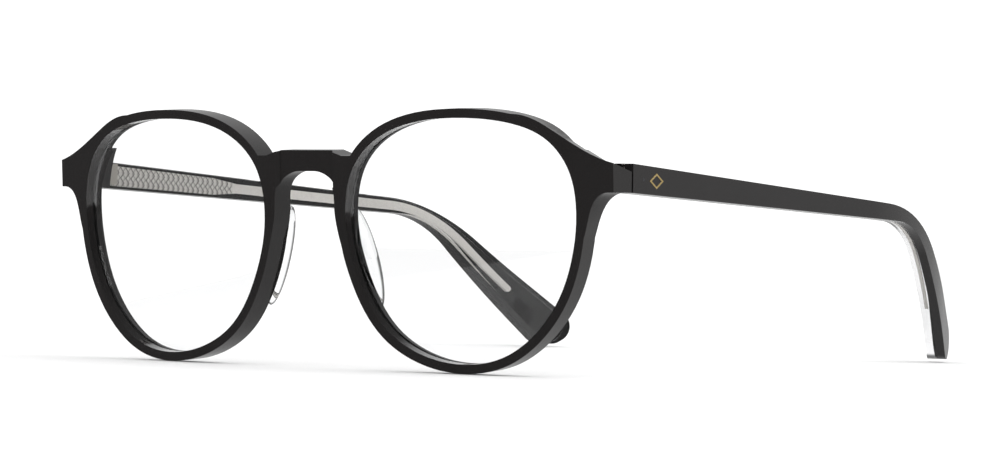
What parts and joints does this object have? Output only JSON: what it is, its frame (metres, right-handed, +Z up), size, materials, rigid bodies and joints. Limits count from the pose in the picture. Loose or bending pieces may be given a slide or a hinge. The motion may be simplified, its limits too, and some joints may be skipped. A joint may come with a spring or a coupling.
{
  "type": "eyeglasses",
  "caption": "Full-rim acetate eyeglasses with round crown-shaped rims, clear demo lenses, bonded nose pads and hinged laminated temples with a visible metal core.",
  "frame": {"origin": "centre of the bounding box on the table plane that the rims and temple tips touch", "axes": "+Z up, the wearer looks along -Y, the temples run back along +Y, +X is the wearer's left"},
  "size_m": [0.1324, 0.1486, 0.0481],
  "materials": {
    "black_acetate": "tumble-polished black cellulose acetate",
    "clear_acetate": "polished clear crystal acetate",
    "demo_lens": "clear moulded demonstration lens with a polished edge",
    "hinge_metal": "barrel-finished nickel silver",
    "screw_steel": "bright stainless steel",
    "engraved_core": "nickel silver wire with a fine engraved herringbone pattern",
    "gold_emblem": "polished gold tone"
  },
  "bodies": {
    "front": {"front_frame": "black_acetate", "lens_left": "demo_lens", "lens_right": "demo_lens", "nose_pad_left": "clear_acetate", "nose_pad_right": "clear_acetate", "front_hinge_left": "hinge_metal", "front_hinge_right": "hinge_metal", "hinge_screw_left": "screw_steel", "hinge_screw_right": "screw_steel"},
    "left_temple": {"temple_hinge_left": "hinge_metal", "temple_outer_left": "black_acetate", "temple_inner_left": "clear_acetate", "core_wire_left": "engraved_core", "temple_emblem_left": "gold_emblem", "hinge_rivet_left": "screw_steel"},
    "right_temple": {"temple_hinge_right": "hinge_metal", "temple_outer_right": "black_acetate", "temple_inner_right": "clear_acetate", "core_wire_right": "engraved_core", "temple_emblem_right": "gold_emblem", "hinge_rivet_right": "screw_steel"}
  },
  "joints": [
    {"name": "left_temple_fold", "type": "hinge", "parent": "front", "child": "left_temple", "pos_m": [0.0608, -0.06131, 0.0357], "axis": [0, 0, 1], "range_deg": [0, 87]},
    {"name": "right_temple_fold", "type": "hinge", "parent": "front", "child": "right_temple", "pos_m": [-0.0608, -0.06131, 0.0357], "axis": [0, 0, -1], "range_deg": [0, 75]}
  ]
}
